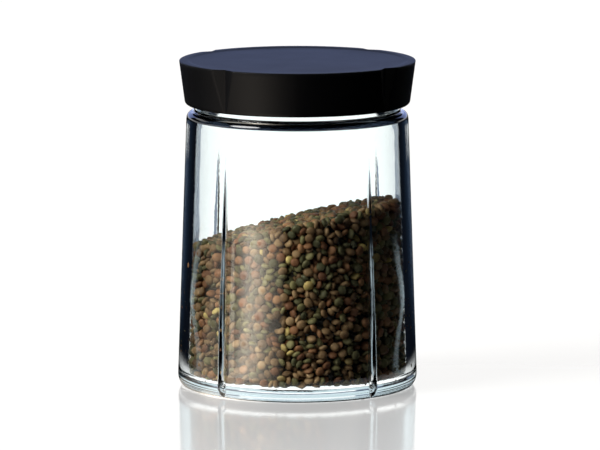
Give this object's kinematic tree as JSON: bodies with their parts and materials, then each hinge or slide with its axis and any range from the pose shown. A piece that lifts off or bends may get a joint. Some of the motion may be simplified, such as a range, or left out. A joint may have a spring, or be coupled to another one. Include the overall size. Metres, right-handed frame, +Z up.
{
  "type": "storage jar",
  "caption": "Thick clear glass storage jar with four narrow upright V grooves, a black push-in lid with a soft seal ring, and a fill of dry lentils.",
  "frame": {"origin": "centre of the jar's footprint, on the surface that it stands on", "axes": "+Z up along the jar's axis; -Y is the front, the side that the picture shows; two of the four glass grooves are 38.75 degrees to either side of the front and two 51.25 degrees to either side of the back"},
  "size_m": [0.1128, 0.1128, 0.154],
  "materials": {
    "clear_glass": "clear, polished, very slightly green in the thickness",
    "dry_lentils": "dry seed coats, mixed brown and dark green, slight sheen",
    "black_plastic": "fine satin moulded texture",
    "plug_plastic": "plain matt moulding",
    "soft_silicone": "milky grey silicone, satin"
  },
  "bodies": {
    "jar": {"glass_jar": "clear_glass", "lentil_fill": "dry_lentils"},
    "seal": {"seal_ring": "soft_silicone"},
    "lid": {"lid_cover": "black_plastic", "lid_plug": "plug_plastic"}
  },
  "joints": [
    {"name": "lid_lift", "type": "slide", "parent": "jar", "child": "seal", "axis": [0, 0, 1], "range_m": [0, 0.06]},
    {"name": "lid_turn", "type": "hinge", "parent": "seal", "child": "lid", "pos_m": [0, 0, 0.1415], "axis": [0, 0, 1], "continuous": true}
  ]
}
